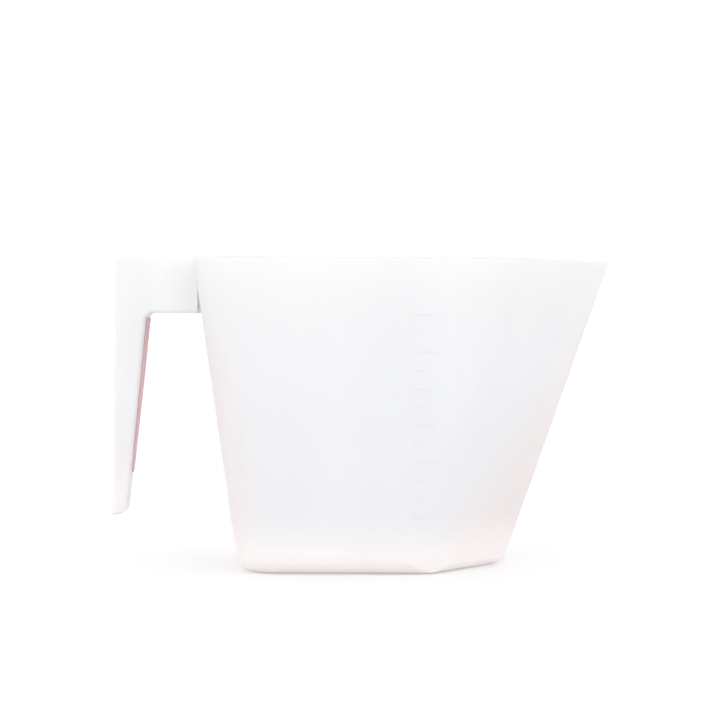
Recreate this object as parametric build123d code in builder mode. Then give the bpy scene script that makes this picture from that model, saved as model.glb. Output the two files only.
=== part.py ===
"""Hair colour mixing bowl: a drafted cup with a pouring prow, a hook handle pressed onto a tenon on
the cup's back wall, and a soft insert in the handle's grip.

Millimetres. +X points to the pouring prow, -X to the handle and +Z up. The origin is on the surface
that the bowl stands on, in the middle of the bowl's overall length and width.
"""

import os
from math import atan, cos, radians, sin, tan

from build123d import *

os.makedirs("parts", exist_ok=True)

# ---------------------------------------------------------------- driving dimensions: the cup
rim_length = 135.5  # tip of the prow to the back wall, at the rim
rim_width = 100.0  # outside of the two parallel sides, at the rim
rim_height = 100.6
prow_length = 36.0  # the pointed part of the rim
back_draft = 7.8  # degrees from upright
side_draft = 7.8
ridge_slope = 19.35  # lean of the ridge where the two prow faces meet
wall = 2.0
floor_thickness = 2.4
rear_corner_radius = 13.0
bend_radius = 24.0  # where a side turns into a prow face
ridge_radius = 2.8
heel_radius = 7.0  # bottom edge under the back and the sides
toe_radius = 4.4  # bottom edge under the prow
rim_edge_radius = 0.7

# ---------------------------------------------------------------- driving dimensions: the handle
bridge_rise = 1.2  # how far the bridge stands above the rim
bridge_depth = 18.9  # top of the bridge to its underside
bridge_length = 27.4  # end at the back wall to the outside of the grip
bridge_width = 16.4
bridge_gap = 0.8  # between the bridge's end and the back wall, at the rim
grip_thickness = 10.6  # outside to inside, just under the bridge
grip_tip_thickness = 5.2
grip_tip_width = 6.4
grip_lean = 1.3  # how much further out the grip's lower end is than its top
tip_height = 15.6  # lower end of the grip above the standing surface
tip_slant = 0.8  # how far the tip's end rises towards its inner side
crown_radius = 3.2  # outer top corner of the hook
throat_radius = 2.2  # inner corner of the hook
tip_radius = 3.6
tip_end_radius = 2.4  # lower corners of the tip, seen from the back
taper_bend_radius = 120.0  # where the grip starts to narrow under the bridge
handle_edge_radius = 1.4

# ---------------------------------------------------------------- driving dimensions: the joints
socket_wall = 2.2
tenon_length = 11.0  # how far the tenon reaches into the bridge
tenon_edge_radius = 0.8
fit_clearance = 0.05  # on each side of the tenon and of the insert
lip = 1.3  # grip wall on each side of the insert
insert_back_wall = 2.4  # grip wall behind the insert
insert_bottom = 30.0  # lower end of the insert above the standing surface
insert_top_gap = 1.6  # between the insert's upper end and the bridge's underside
insert_proud = 0.3  # how far the insert stands out of the grip

# ---------------------------------------------------------------- places worked out from the above
overall_length = rim_length + bridge_gap + bridge_length + grip_lean
tip_x = overall_length / 2
rim_back_x = tip_x - rim_length
prow_half_angle = atan(rim_width / 2 / prow_length)
ridge_trim = ridge_radius * (1 / sin(prow_half_angle) - 1)  # what rounding takes off the tip
rim_trim = rim_edge_radius * ((1 + sin(radians(ridge_slope))) / cos(radians(ridge_slope)) - 1)
sharp_tip_x = tip_x + ridge_trim + rim_trim
bridge_top = rim_height + bridge_rise
bridge_under = bridge_top - bridge_depth
bridge_end_x = rim_back_x - bridge_gap
tenon_end_x = bridge_end_x - tenon_length
grip_bottom_x = -overall_length / 2
grip_top_x = grip_bottom_x + grip_lean
throat_x = grip_top_x + grip_thickness
tip_inner_x = grip_bottom_x + grip_tip_thickness
insert_top = bridge_under - insert_top_gap
run_out = 60.0  # how far a helper form runs past what it cuts
tip_form_gap = 0.05  # how far the form that rounds the tip stands off the grip's sides


def nose_x(height, inset):
    """The prow's sharp nose at a height, moved in by a wall measured square to the prow faces."""
    return sharp_tip_x - (rim_height - height) * tan(radians(ridge_slope)) - inset / sin(prow_half_angle)


def tail_x(height, inset):
    """The back wall at a height, moved in by a wall."""
    return rim_back_x + (rim_height - height) * tan(radians(back_draft)) + inset


def half_width(height, inset):
    """Half the width between the sides at a height, moved in by a wall."""
    return rim_width / 2 - (rim_height - height) * tan(radians(side_draft)) - inset


def level_outline(height, *points, rounded=()):
    """A closed level outline through the points, with some corners rounded: (place along X, radius)."""
    with BuildSketch(Plane.XY.offset(height)) as sketch:
        with BuildLine():
            Polyline(*points, close=True)
        make_face()
        for place, radius in rounded:
            fillet(sketch.vertices().filter_by_position(Axis.X, place - 0.01, place + 0.01), radius=radius)
    return sketch.sketch


def trough(inset, low, high):
    """The back and the two sides, run past the prow, with rounded rear corners and bottom edges."""
    with BuildPart() as form:
        for height in (low, high):
            tail, half = tail_x(height, inset), half_width(height, inset)
            front = tip_x + run_out
            add(level_outline(height, (tail, -half), (front, -half), (front, half), (tail, half)))
        loft(ruled=True)
        rising = form.edges().filter_by(lambda edge: abs(edge.tangent_at(0.5).Z) > 0.5)
        fillet(rising.sort_by(Axis.X)[:2], radius=rear_corner_radius - inset)
        bottom = form.faces().sort_by(Axis.Z)[0].edges()
        fillet(bottom.sort_by(Axis.X)[:-1], radius=heel_radius - inset)
    return form.part


def wedge(inset, low, high):
    """The two prow faces, run past the back, with rounded bottom edges."""
    with BuildPart() as form:
        for height in (low, high):
            nose, back = nose_x(height, inset), rim_back_x - run_out
            spread = (nose - back) * tan(prow_half_angle)
            add(level_outline(height, (back, -spread), (nose, 0), (back, spread)))
        loft(ruled=True)
        bottom = form.faces().sort_by(Axis.Z)[0].edges()
        fillet(bottom.sort_by(Axis.X)[1:], radius=toe_radius - inset)
    return form.part


def rounded_prow(inset, low, high):
    """Sides and prow faces with the bends and the ridge rounded."""
    with BuildPart() as form:
        for height in (low, high):
            nose, half = nose_x(height, inset), half_width(height, inset)
            back, bend = rim_back_x - run_out, nose - half / tan(prow_half_angle)
            corners = (back, -half), (bend, -half), (nose, 0), (bend, half), (back, half)
            rounding = (nose, ridge_radius - inset), (bend, bend_radius - inset)
            add(level_outline(height, *corners, rounded=rounding))
        loft(ruled=True)
    return form.part


def cup_form(inset, low, high):
    """The cup's drafted form between two heights: the outside at no inset, the inside at one wall."""
    with BuildPart() as form:
        add(trough(inset, low, high))
        add(wedge(inset, low, high), mode=Mode.INTERSECT)
        add(rounded_prow(inset, low, high), mode=Mode.INTERSECT)
    return form.part


def tenon_form(clearance):
    """The block in the bridge's socket, grown by a clearance on its four sides, run into the cup."""
    depth = bridge_depth - 2 * socket_wall + 2 * clearance
    width = bridge_width - 2 * socket_wall + 2 * clearance
    with BuildPart() as form:
        with BuildSketch(Plane.YZ.offset(tenon_end_x)):
            with Locations((0, bridge_top - bridge_depth / 2)):
                RectangleRounded(width, depth, tenon_edge_radius + clearance)
        extrude(amount=rim_back_x - tenon_end_x + rear_corner_radius)
    return form.part


def tapered_form(side_wall, bottom, end_radius):
    """The handle's front view, run along X: narrowed by a wall on each side, down to a bottom end."""
    def half(height):
        fall = (bridge_under - height) / (bridge_under - tip_height)
        return (bridge_width - (bridge_width - grip_tip_width) * fall) / 2 - side_wall

    with BuildPart() as form:
        with BuildSketch(Plane.YZ) as front:
            with BuildLine():
                Polyline(
                    (-half(bridge_under), bridge_top),
                    (-half(bridge_under), bridge_under),
                    (-half(bottom), bottom),
                    (half(bottom), bottom),
                    (half(bridge_under), bridge_under),
                    (half(bridge_under), bridge_top),
                    close=True,
                )
            make_face()
            bend = front.vertices().filter_by_position(Axis.Y, bridge_under - 0.001, bridge_under + 0.001)
            fillet(bend, radius=taper_bend_radius)
            if end_radius > 0:
                fillet(front.vertices().group_by(Axis.Y)[0], radius=end_radius)
        extrude(amount=overall_length, both=True)
    return form.part


def insert_form(clearance, proud):
    """The soft insert, or with a clearance the channel that holds it."""
    drop = bridge_under - tip_height
    face_lean = (tip_inner_x - throat_x) / drop
    back_lean = (grip_bottom_x - grip_top_x) / drop

    def face(height):
        return throat_x + face_lean * (bridge_under - height) + proud

    def back(height):
        return grip_top_x + back_lean * (bridge_under - height) + insert_back_wall - clearance

    low, high = insert_bottom - clearance, insert_top + clearance
    end_width = grip_tip_width + (bridge_width - grip_tip_width) * (low - tip_height) / drop
    with BuildPart() as form:
        with BuildSketch(Plane.XZ):
            with BuildLine():
                Polyline(
                    (back(low), low),
                    (face(low), low),
                    (face(high), high),
                    (back(high), high),
                    close=True,
                )
            make_face()
        extrude(amount=bridge_width, both=True)
        add(tapered_form(lip - clearance, low, 0.45 * (end_width - 2 * lip)), mode=Mode.INTERSECT)
    return form.part


# ---------------------------------------------------------------- bowl_shell
with BuildPart() as bowl_shell:
    add(cup_form(0, 0, rim_height))
    add(tenon_form(0))
    add(cup_form(wall, floor_thickness, rim_height + run_out), mode=Mode.SUBTRACT)
    rim = bowl_shell.faces().filter_by(lambda face: abs(face.center().Z - rim_height) < 0.001)
    fillet(rim.edges(), radius=rim_edge_radius)
bowl_shell.part.label = "bowl_shell"
export_step(bowl_shell.part, "parts/bowl_shell.step")

# ---------------------------------------------------------------- handle
with BuildPart() as handle:
    with BuildSketch(Plane.XZ) as hook:
        crown, throat = (grip_top_x, bridge_top), (throat_x, bridge_under)
        inner_tip = (tip_inner_x, tip_height + tip_slant)
        with BuildLine():
            Polyline(
                crown,
                (bridge_end_x, bridge_top),
                (bridge_end_x, bridge_under),
                throat,
                inner_tip,
                (grip_bottom_x, tip_height),
                close=True,
            )
        make_face()
        for corner, radius in (crown, crown_radius), (throat, throat_radius), (inner_tip, tip_radius):
            fillet(hook.vertices().sort_by_distance(corner)[0], radius=radius)
    extrude(amount=bridge_width / 2, both=True)
    add(tapered_form(0, tip_height - tip_radius, 0), mode=Mode.INTERSECT)
    shoulders = handle.faces().filter_by(lambda face: abs(face.normal_at().Y) < 0.01).sort_by(Axis.X)[:-1]
    lengthwise = shoulders.edges().filter_by(lambda edge: abs(edge.tangent_at(0.5).Y) < 0.3)
    fillet(lengthwise, radius=handle_edge_radius)
    add(tapered_form(-tip_form_gap, tip_height, tip_end_radius), mode=Mode.INTERSECT)
    add(tenon_form(fit_clearance), mode=Mode.SUBTRACT)
    add(insert_form(fit_clearance, run_out), mode=Mode.SUBTRACT)
handle.part.label = "handle"
export_step(handle.part, "parts/handle.step")

# ---------------------------------------------------------------- grip_insert
with BuildPart() as grip_insert:
    add(insert_form(0, insert_proud))
grip_insert.part.label = "grip_insert"
export_step(grip_insert.part, "parts/grip_insert.step")
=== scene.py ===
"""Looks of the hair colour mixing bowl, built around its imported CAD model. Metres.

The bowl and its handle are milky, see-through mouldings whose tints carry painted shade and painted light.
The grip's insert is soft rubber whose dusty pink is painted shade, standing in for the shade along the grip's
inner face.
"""

from math import cos, radians, sin, tan

import bmesh
import bpy
from mathutils import Matrix, Vector


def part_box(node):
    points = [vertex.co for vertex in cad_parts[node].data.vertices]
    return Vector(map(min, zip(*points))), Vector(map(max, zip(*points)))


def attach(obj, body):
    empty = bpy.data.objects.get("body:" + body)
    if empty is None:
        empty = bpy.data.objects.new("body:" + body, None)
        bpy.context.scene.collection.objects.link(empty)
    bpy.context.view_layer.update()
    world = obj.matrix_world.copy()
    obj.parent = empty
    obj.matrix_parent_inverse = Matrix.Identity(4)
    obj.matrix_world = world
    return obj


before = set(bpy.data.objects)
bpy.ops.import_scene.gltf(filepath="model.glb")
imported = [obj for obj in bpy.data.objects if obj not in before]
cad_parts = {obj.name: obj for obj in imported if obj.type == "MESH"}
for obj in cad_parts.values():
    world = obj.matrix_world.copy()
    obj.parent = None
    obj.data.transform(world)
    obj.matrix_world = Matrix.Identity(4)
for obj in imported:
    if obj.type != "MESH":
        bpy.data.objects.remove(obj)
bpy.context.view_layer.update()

# ---------------------------------------------------------------- camera
CAMERA_PLACE = (-0.0002, -0.720, 0.0801)
LOOK_DOWN = radians(1.0)
CAMERA_ROLL = radians(0.2)
LENS, SENSOR = 108.0, 36.0
FLOOR_DROP = 0.0003  # keeps the floor's face clear of the bowl's underside

# ---------------------------------------------------------------- the bowl's slopes and places
SIDE_DRAFT = radians(7.8)
RIDGE_SLOPE = radians(19.35)
BOWL_HIGH = Vector(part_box("bowl_shell")[1])
INSERT_LOW, INSERT_HIGH = (Vector(corner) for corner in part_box("grip_insert"))
HANDLE_LOW, HANDLE_HIGH = (Vector(corner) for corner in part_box("handle"))
RIM_LENGTH = 0.1355
HALF_RIM_WIDTH = 0.050
BACK_X = BOWL_HIGH.x - RIM_LENGTH  # the back wall at the rim

# ---------------------------------------------------------------- the raised scale on one side
MARK_START_X = 0.0163
SHORT_MARK, LONG_MARK = 0.0040, 0.0075
MARK_HEIGHT, MARK_THICKNESS, MARK_EDGE = 0.0006, 0.0001, 0.00004
LOWEST_MARK, MARK_STEP, MARK_COUNT = 0.0186, 0.0058, 12

# ---------------------------------------------------------------- finishes (linear colours)
BOWL_COOL = (0.922, 0.930, 0.948, 1)
# painted light: the bowl's upper walls, tinted less blue than the cool middle as if lit from above
BOWL_PAINTED_LIGHT = (0.926, 0.924, 0.932, 1)
# warm, pinker tints are painted shade: where walls turn away at a slant, sit low, or lie in the gap beside
# the back wall
BOWL_WARM_SHADE = (0.950, 0.886, 0.880, 1)
HANDLE_COOL = (0.885, 0.882, 0.895, 1)
# painted light: the handle's bridge beside the bowl, painted lighter than the grip to lift the shade there
HANDLE_PAINTED_LIGHT = (0.955, 0.945, 0.952, 1)
HANDLE_WARM_SHADE = (0.905, 0.868, 0.872, 1)
# painted shade: the insert's dusty pink stands in for the shade along the grip's inner face
SHADE_PINK_RUBBER = (0.63, 0.333, 0.370, 1)
RUBBER_WORN = (0.70, 0.43, 0.465, 1)
# paler edges: wear, and painted highlight along the rim, the foot and the handle's top and end
WORN_LIT_EDGE = (0.98, 0.975, 0.975, 1)
RUBBER_DUST = (0.80, 0.66, 0.67, 1)
PAINTED_FOOT_GLOW = (1.0, 0.95, 0.93, 1)  # painted light: the plastic glows though it is no lamp, most at the foot, to lift its shade
NO_GLOW = (0, 0, 0, 1)
WARM_SHADE_TOP = 0.098  # no warm painted shade above this height
FOOT_GLOW_TOP = 0.020  # where the foot's painted glow has faded to its faint level over the rest
PLASTIC_IOR = 1.49
DEEPENING, FLOW_TINT, EDGE_TINT = 0.985, 0.35, 0.3  # how far the flow and the worn, painted-highlight edges show
FLOW_ROUGHNESS, SCUFF_ROUGHNESS, EDGE_ROUGHNESS = 0.07, 0.06, 0.08
PLASTIC_GRAIN, PLASTIC_FLOW, PLASTIC_PATCHES = 2600.0, 26.0, 34.0
RUBBER_PEBBLES, RUBBER_GRAIN, RUBBER_FLOW, RUBBER_PATCHES = 1700.0, 4200.0, 60.0, 70.0

# ---------------------------------------------------------------- light and floor
HORIZON_LIGHT, OVERHEAD_LIGHT = 1.475, 0.83
DIMMING_START = 0.25  # how far up the room starts to dim, from 0 at the horizon to 1 overhead
FLOOR_SIZE, FLOOR_GLOW, FLOOR_COLOUR = 6.0, 0.09, (0.845, 0.845, 0.845, 1)


def place_camera():
    lens = bpy.data.cameras.new("studio_camera")
    lens.lens, lens.sensor_width = LENS, SENSOR
    camera = bpy.data.objects.new("studio_camera", lens)
    camera.location = CAMERA_PLACE
    camera.rotation_euler = (radians(90) - LOOK_DOWN, -CAMERA_ROLL, 0)
    bpy.context.scene.collection.objects.link(camera)
    bpy.context.scene.camera = camera


def white_room(strength, overhead):
    world = bpy.data.worlds.new("white_room")
    world.use_nodes = True
    tree = world.node_tree
    air = tree.nodes["Background"]
    upward = tree.nodes.new("ShaderNodeSeparateXYZ")
    tree.links.new(tree.nodes.new("ShaderNodeTexCoord").outputs["Generated"], upward.inputs[0])
    dimmer = tree.nodes.new("ShaderNodeMapRange")
    tree.links.new(upward.outputs["Z"], dimmer.inputs["Value"])
    levels = ("From Min", DIMMING_START), ("From Max", 1.0), ("To Min", strength), ("To Max", overhead)
    for label, value in levels:
        dimmer.inputs[label].default_value = value
    air.inputs["Color"].default_value = (1, 1, 1, 1)
    tree.links.new(dimmer.outputs["Result"], air.inputs["Strength"])
    bpy.context.scene.world = world
    bpy.context.scene.view_settings.view_transform = "Standard"


def soft_light(name, place, target, size, power, colour):
    lamp = bpy.data.lights.new(name, "AREA")
    lamp.shape, lamp.size, lamp.energy, lamp.color = "SQUARE", size, power, colour
    light = bpy.data.objects.new(name, lamp)
    light.location = place
    light.rotation_euler = (Vector(target) - Vector(place)).to_track_quat("-Z", "Y").to_euler()
    bpy.context.scene.collection.objects.link(light)


def pale_floor(size, colour, glow):
    form = bmesh.new()
    made = bmesh.ops.create_grid(form, x_segments=1, y_segments=1, size=size)["verts"]
    bmesh.ops.translate(form, verts=made, vec=(0, 0, -FLOOR_DROP))
    mesh = bpy.data.meshes.new("floor")
    form.to_mesh(mesh)
    form.free()
    floor = bpy.data.objects.new("floor", mesh)
    bpy.context.scene.collection.objects.link(floor)
    paint = bpy.data.materials.new("floor_paint")
    paint.use_nodes = True
    shader = paint.node_tree.nodes["Principled BSDF"]
    shader.inputs["Base Color"].default_value = colour
    shader.inputs["Roughness"].default_value = 0.9
    shader.inputs["Emission Color"].default_value = (1, 1, 1, 1)
    shader.inputs["Emission Strength"].default_value = glow
    mesh.materials.append(paint)


# ---------------------------------------------------------------- node tools
def node(tree, kind, values=None, **settings):
    """A node with some settings and some socket values; a value that is a socket is linked."""
    made = tree.nodes.new(kind)
    for key, value in settings.items():
        setattr(made, key, value)
    for key, value in (values or {}).items():
        if isinstance(value, bpy.types.NodeSocket):
            tree.links.new(value, made.inputs[key])
        else:
            made.inputs[key].default_value = value
    return made


def math(tree, operation, first, second=0.0, clamp=False):
    made = node(tree, "ShaderNodeMath", {0: first, 1: second}, operation=operation, use_clamp=clamp)
    return made.outputs[0]


def blend(tree, amount, first, second, mode="MIX"):
    made = node(tree, "ShaderNodeMix", data_type="RGBA", blend_type=mode, clamp_factor=True)
    for place, value in ((0, amount), (6, first), (7, second)):
        if isinstance(value, bpy.types.NodeSocket):
            tree.links.new(value, made.inputs[place])
        else:
            made.inputs[place].default_value = value
    return made.outputs[2]


def fade(tree, value, start, end, low=0.0, high=1.0):
    """A smooth step of a value from one number to another."""
    values = {"Value": value, "From Min": start, "From Max": end, "To Min": low, "To Max": high}
    return node(tree, "ShaderNodeMapRange", values, interpolation_type="SMOOTHSTEP").outputs["Result"]


def new_group(name, inputs, outputs):
    """A shader node group with named sockets: (name, kind, default)."""
    tree = bpy.data.node_groups.new(name, "ShaderNodeTree")
    for label, kind, value in inputs:
        socket = tree.interface.new_socket(label, in_out="INPUT", socket_type=kind)
        if value is not None:
            socket.default_value = value
    for label, kind in outputs:
        tree.interface.new_socket(label, in_out="OUTPUT", socket_type=kind)
    return tree, tree.nodes.new("NodeGroupInput").outputs, tree.nodes.new("NodeGroupOutput").inputs


FLOAT, VECTOR = "NodeSocketFloat", "NodeSocketVector"


def plane_fade_group():
    """A mask that rises from 0 to 1 across a slanted plane."""
    across = ("Start", FLOAT, 0), ("Width", FLOAT, 0.01)
    sockets = ("Place", VECTOR, None), ("Facing", VECTOR, (1, 0, 0)), *across
    tree, given, out = new_group("plane_fade", sockets, [("Mask", FLOAT)])
    both = {0: given["Place"], 1: given["Facing"]}
    along = node(tree, "ShaderNodeVectorMath", both, operation="DOT_PRODUCT")
    past = math(tree, "SUBTRACT", along.outputs["Value"], given["Start"])
    tree.links.new(fade(tree, math(tree, "DIVIDE", past, given["Width"]), 0.0, 1.0), out["Mask"])
    return tree


def moulded_grain_group():
    """Fine texture of the mould's steel, with broad unevenness and a slow flow of the plastic."""
    sockets = ("Place", VECTOR, None), ("Grain Scale", FLOAT, 2600), ("Flow Scale", FLOAT, 26)
    tree, given, out = new_group("moulded_grain", sockets, [("Height", FLOAT), ("Flow", FLOAT)])
    fine = node(tree, "ShaderNodeTexNoise", {"Vector": given["Place"], "Scale": given["Grain Scale"],
                                             "Detail": 3.0, "Roughness": 0.55})
    ripple_scale = math(tree, "MULTIPLY", given["Flow Scale"], 6.0)
    ripple = node(tree, "ShaderNodeTexNoise", {"Vector": given["Place"], "Scale": ripple_scale,
                                               "Detail": 2.0})
    stretch = node(tree, "ShaderNodeMapping", {"Vector": given["Place"], "Scale": (1.0, 1.0, 0.45)})
    flow = node(tree, "ShaderNodeTexNoise", {"Vector": stretch.outputs[0], "Scale": given["Flow Scale"],
                                             "Detail": 3.0, "Distortion": 0.6})
    height = math(tree, "ADD", math(tree, "MULTIPLY", fine.outputs["Fac"], 0.35),
                  math(tree, "MULTIPLY", ripple.outputs["Fac"], 0.65))
    tree.links.new(height, out["Height"])
    tree.links.new(fade(tree, flow.outputs["Fac"], 0.3, 0.7), out["Flow"])
    return tree


def handling_group():
    """Scuffs from use: fine crossing hairlines inside broad worn patches."""
    sockets = ("Place", VECTOR, None), ("Patch Scale", FLOAT, 30), ("Amount", FLOAT, 1.0)
    tree, given, out = new_group("handling_scuffs", sockets, [("Mask", FLOAT)])
    lines = None
    for turn, length in (((0.4, 0.9, 0.2), 0.06), ((1.3, 0.2, 1.0), 0.05), ((0.1, 1.7, 0.5), 0.07)):
        laid = node(tree, "ShaderNodeMapping", {"Vector": given["Place"], "Rotation": turn,
                                                "Scale": (1.0, length, 1.0)})
        streak = node(tree, "ShaderNodeTexNoise", {"Vector": laid.outputs[0], "Scale": 1500.0, "Detail": 1.0})
        line = fade(tree, streak.outputs["Fac"], 0.66, 0.74)
        lines = line if lines is None else math(tree, "MAXIMUM", lines, line)
    patch = node(tree, "ShaderNodeTexNoise", {"Vector": given["Place"], "Scale": given["Patch Scale"],
                                              "Detail": 2.0})
    worn = math(tree, "MULTIPLY", lines, fade(tree, patch.outputs["Fac"], 0.42, 0.62))
    tree.links.new(math(tree, "MULTIPLY", worn, given["Amount"], clamp=True), out["Mask"])
    return tree


GROUPS = {}


def placed(tree, group, **values):
    made = node(tree, "ShaderNodeGroup", node_tree=GROUPS[group])
    for label, value in values.items():
        label = label.replace("_", " ")
        if isinstance(value, bpy.types.NodeSocket):
            tree.links.new(value, made.inputs[label])
        else:
            made.inputs[label].default_value = value
    return made.outputs


def new_finish(name):
    finish = bpy.data.materials.new(name)
    finish.use_nodes = True
    tree = finish.node_tree
    place = tree.nodes.new("ShaderNodeTexCoord").outputs["Object"]
    return finish, tree, place, tree.nodes["Principled BSDF"]


def plane(tree, place, facing, start, width):
    return placed(tree, "plane_fade", Place=place, Facing=facing, Start=start, Width=width)["Mask"]


def most(tree, masks):
    top = masks[0]
    for mask in masks[1:]:
        top = math(tree, "MAXIMUM", top, mask)
    return top


def milky_colour(tree, place, tints, painted_light_plane, warm_shade_mask, flow, worn_lit_edge):
    cool, painted_light_tint, warm_shade_tint = tints
    # cool base, painted light across one plane, then warm painted shade
    colour = blend(tree, plane(tree, place, *painted_light_plane), cool, painted_light_tint)
    colour = blend(tree, warm_shade_mask, colour, warm_shade_tint)
    deeper = tuple(DEEPENING * value for value in cool[:3]) + (1,)
    colour = blend(tree, math(tree, "MULTIPLY", flow, FLOW_TINT), colour, deeper, "MULTIPLY")
    # paler at the edges: wear and painted highlight
    return blend(tree, math(tree, "MULTIPLY", worn_lit_edge, EDGE_TINT), colour, WORN_LIT_EDGE)


def milky_roughness(tree, satin, flow, scuffs, worn_lit_edge):
    rough = math(tree, "ADD", math(tree, "MULTIPLY", flow, FLOW_ROUGHNESS), satin)
    rough = math(tree, "ADD", rough, math(tree, "MULTIPLY", scuffs, SCUFF_ROUGHNESS))
    return math(tree, "ADD", rough, math(tree, "MULTIPLY", worn_lit_edge, EDGE_ROUGHNESS))


def painted_foot_glow(tree, place):
    # Painted light: an emission strongest at the foot, fading up the wall to a faint glow.
    height_up = node(tree, "ShaderNodeSeparateXYZ", {"Vector": place}).outputs["Z"]
    return blend(tree, fade(tree, height_up, 0.0, FOOT_GLOW_TOP, 1.0, 0.15), NO_GLOW, PAINTED_FOOT_GLOW)


def milky_finish(name, tints, painted_light_plane, warm_shade_top, warm_shade_planes, worn_lit_planes, glow, see_through, satin):
    """A milky moulding: cool in the middle, lighter where one plane paints light, warm painted shade where
    the planes say, paler along its edges with wear and painted highlight.
    """
    finish, tree, place, shader = new_finish(name)
    grain = placed(tree, "moulded_grain", Place=place, Grain_Scale=PLASTIC_GRAIN,
                   Flow_Scale=PLASTIC_FLOW)
    scuffs = placed(tree, "handling_scuffs", Place=place, Patch_Scale=PLASTIC_PATCHES,
                    Amount=0.6)["Mask"]
    low = plane(tree, place, (0, 0, -1), -warm_shade_top, warm_shade_top * 0.45)
    side = most(tree, [math(tree, "MULTIPLY", plane(tree, place, *row[:3]), row[3]) for row in warm_shade_planes])
    # warm painted shade, kept to the lower part of the moulding
    warm_shade_mask = math(tree, "MULTIPLY", side, low)
    worn_lit_edge = most(tree, [plane(tree, place, *row) for row in worn_lit_planes])
    colour = milky_colour(tree, place, tints, painted_light_plane, warm_shade_mask, grain["Flow"], worn_lit_edge)
    rough = milky_roughness(tree, satin, grain["Flow"], scuffs, worn_lit_edge)
    bump = node(tree, "ShaderNodeBump", {"Height": grain["Height"], "Strength": 0.2, "Distance": 0.0001})
    tree.links.new(colour, shader.inputs["Base Color"])
    tree.links.new(rough, shader.inputs["Roughness"])
    tree.links.new(bump.outputs[0], shader.inputs["Normal"])
    # painted light: the glow lifts the shade at the foot
    tree.links.new(painted_foot_glow(tree, place), shader.inputs["Emission Color"])
    shader.inputs["Emission Strength"].default_value = glow
    shader.inputs["IOR"].default_value = PLASTIC_IOR
    shader.inputs["Transmission Weight"].default_value = see_through
    shader.inputs["Specular IOR Level"].default_value = 0.42
    return finish


# A plane's row holds where it faces, where it starts along that, its width and, if it paints warm shade, how
# strongly.
def bowl_finish():
    slope = Vector((cos(RIDGE_SLOPE), 0, -sin(RIDGE_SLOPE)))
    nose = slope.dot(Vector((BOWL_HIGH.x, 0, BOWL_HIGH.z)))
    back = Vector((-cos(SIDE_DRAFT), 0, -sin(SIDE_DRAFT)))
    tail = back.dot(Vector((BACK_X, 0, BOWL_HIGH.z)))
    lower_prow = Vector((0.82, 0, -0.572))
    # painted shade: a warm tint along the ridge, the back wall, the foot and the prow's lower half
    warm_shade_planes = (
        (slope, nose - 0.012, 0.014, 0.8),  # along the ridge
        (back, tail - 0.015, 0.015, 0.85),  # the back wall
        ((0, 0, -1), -0.018, 0.018, 0.8),  # the foot
        (lower_prow, lower_prow.dot(Vector((0.022, 0, 0.017))), 0.016, 0.85),  # the prow's lower half
    )
    # wear and painted highlight: paler along the rim and the foot's lowest band
    worn_lit_planes = ((0, 0, 1), BOWL_HIGH.z - 0.0020, 0.0016), ((0, 0, -1), -0.0022, 0.0020)
    # painted light: the upper walls take the lighter tint
    painted_light_zone = (0, 0, 1), 0.062, 0.030
    tints = BOWL_COOL, BOWL_PAINTED_LIGHT, BOWL_WARM_SHADE
    # glow: painted light at the foot and faintly over the rest of the bowl
    return milky_finish("bowl_plastic", tints, painted_light_zone, WARM_SHADE_TOP, warm_shade_planes, worn_lit_planes,
                        glow=0.082, see_through=0.35, satin=0.31)


def handle_finish():
    # painted shade: a warm tint down the grip and at the bridge's shaded end beside the back wall
    warm_shade_planes = (
        ((0, 0, -1), -0.060, 0.040, 0.9),  # down the grip
        ((1, 0, 0), BACK_X - 0.004, 0.004, 0.7),  # the bridge's end, beside the back wall
    )
    # wear and painted highlight: paler along the handle's top and its outer end
    worn_lit_planes = ((0, 0, 1), HANDLE_HIGH.z - 0.0022, 0.0020), ((-1, 0, 0), -HANDLE_LOW.x - 0.0018, 0.0018)
    # painted light: the bridge beside the bowl takes the lighter tint
    painted_light_zone = (1, 0, 0), -0.074, 0.012
    tints = HANDLE_COOL, HANDLE_PAINTED_LIGHT, HANDLE_WARM_SHADE
    return milky_finish("handle_plastic", tints, painted_light_zone, WARM_SHADE_TOP, warm_shade_planes, worn_lit_planes,
                        glow=0.0, see_through=0.12, satin=0.33)


def rubbed_patch(tree, place, flow):
    """Where fingers rub: the insert's lower half, fading at both ends."""
    middle = (INSERT_LOW.z + INSERT_HIGH.z) / 2
    above_end = plane(tree, place, (0, 0, 1), INSERT_LOW.z, 0.012)
    below_middle = math(tree, "SUBTRACT", 1.0, plane(tree, place, (0, 0, 1), middle, 0.030))
    patch = math(tree, "MULTIPLY", above_end, below_middle)
    return math(tree, "MULTIPLY", patch, fade(tree, flow, 0.2, 0.9))


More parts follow.
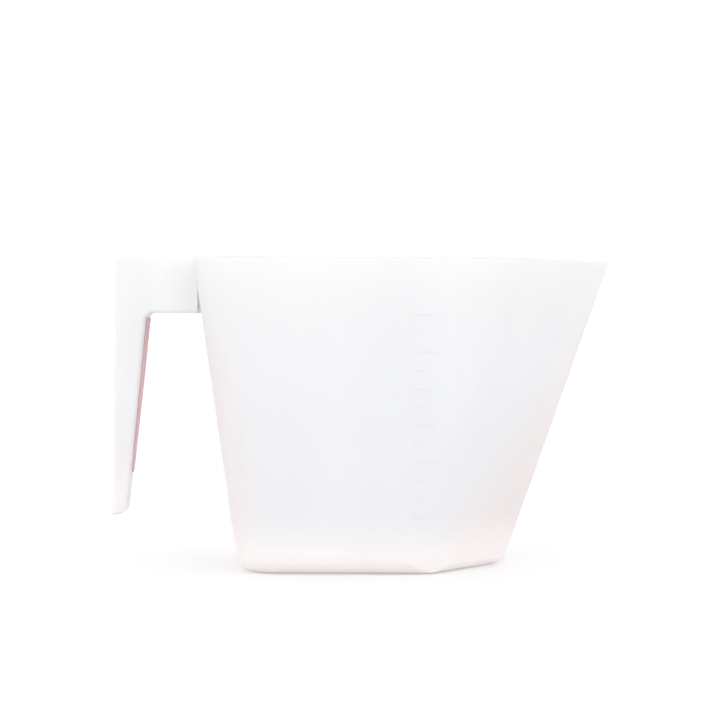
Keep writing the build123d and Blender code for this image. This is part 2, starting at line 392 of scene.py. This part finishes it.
def rubber_finish():
    """Soft rubber: pebbled skin, dull, paler and smoother where fingers rub its proud face. Its dusty pink is
    painted shade, standing in for the shade along the grip's inner face.
    """
    finish, tree, place, shader = new_finish("insert_rubber")
    pebbles = node(tree, "ShaderNodeTexVoronoi", {"Vector": place, "Scale": RUBBER_PEBBLES},
                   feature="SMOOTH_F1")
    grain = placed(tree, "moulded_grain", Place=place, Grain_Scale=RUBBER_GRAIN, Flow_Scale=RUBBER_FLOW)
    scuffs = placed(tree, "handling_scuffs", Place=place, Patch_Scale=RUBBER_PATCHES,
                    Amount=0.9)["Mask"]
    rubbed = rubbed_patch(tree, place, grain["Flow"])
    colour = blend(tree, math(tree, "MULTIPLY", rubbed, 0.35), SHADE_PINK_RUBBER, RUBBER_WORN)
    colour = blend(tree, math(tree, "MULTIPLY", scuffs, 0.45), colour, RUBBER_DUST)
    tree.links.new(colour, shader.inputs["Base Color"])
    rough = math(tree, "SUBTRACT", math(tree, "ADD", math(tree, "MULTIPLY", grain["Flow"], 0.10), 0.62),
                 math(tree, "MULTIPLY", rubbed, 0.14))
    tree.links.new(rough, shader.inputs["Roughness"])
    height = math(tree, "ADD", math(tree, "MULTIPLY", pebbles.outputs["Distance"], 0.7),
                  math(tree, "MULTIPLY", grain["Height"], 0.3))
    bump = node(tree, "ShaderNodeBump", {"Height": height, "Strength": 0.5, "Distance": 0.00018})
    tree.links.new(bump.outputs[0], shader.inputs["Normal"])
    shader.inputs["Sheen Weight"].default_value = 0.25
    shader.inputs["Sheen Roughness"].default_value = 0.5
    return finish


def side_wall_y(height):
    """The outside of the near side at a height."""
    return -(HALF_RIM_WIDTH - (BOWL_HIGH.z - height) * tan(SIDE_DRAFT))


def scale_mark(form, length, height):
    """One low bar, sunk halfway into the side wall, with softened edges."""
    made = bmesh.ops.create_cube(form, size=1.0)["verts"]
    bmesh.ops.scale(form, verts=made, vec=(length, MARK_THICKNESS, MARK_HEIGHT))
    edges = list({edge for corner in made for edge in corner.link_edges})
    bevelled = bmesh.ops.bevel(form, geom=edges, offset=MARK_EDGE, segments=3, profile=0.5, affect="EDGES",
                               material=-1)
    body = list({corner for face in bevelled["faces"] for corner in face.verts})
    bmesh.ops.rotate(form, verts=body, cent=(0, 0, 0), matrix=Matrix.Rotation(SIDE_DRAFT, 3, "X"))
    middle = MARK_START_X + length / 2, side_wall_y(height), height
    bmesh.ops.translate(form, verts=body, vec=middle)


def raised_scale(finish):
    """Short bars up the near side, with every second one longer above the third. No figures."""
    form = bmesh.new()
    for step in range(MARK_COUNT):
        length = LONG_MARK if step % 2 and step > 2 else SHORT_MARK
        scale_mark(form, length, LOWEST_MARK + step * MARK_STEP)
    bmesh.ops.recalc_face_normals(form, faces=form.faces)
    mesh = bpy.data.meshes.new("raised_scale")
    form.to_mesh(mesh)
    form.free()
    mesh.materials.append(finish)
    marks = bpy.data.objects.new("raised_scale", mesh)
    bpy.context.scene.collection.objects.link(marks)
    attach(marks, "root")


def dress(name, finish):
    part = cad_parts[name]
    part.data.materials.clear()
    part.data.materials.append(finish)


place_camera()
white_room(HORIZON_LIGHT, OVERHEAD_LIGHT)
pale_floor(FLOOR_SIZE, FLOOR_COLOUR, FLOOR_GLOW)
soft_light("key_light", place=(-0.7, -1.0, 1.1), target=(0, 0, 0.05), size=0.9, power=1.6,
           colour=(0.96, 0.98, 1.0))
soft_light("low_warm_light", place=(0.5, -1.0, 0.12), target=(0, 0, 0.02), size=0.5, power=0.7,
           colour=(1.0, 0.93, 0.91))

GROUPS["plane_fade"] = plane_fade_group()
GROUPS["moulded_grain"] = moulded_grain_group()
GROUPS["handling_scuffs"] = handling_group()
bowl_plastic = bowl_finish()
dress("bowl_shell", bowl_plastic)
raised_scale(bowl_plastic)
dress("handle", handle_finish())
dress("grip_insert", rubber_finish())
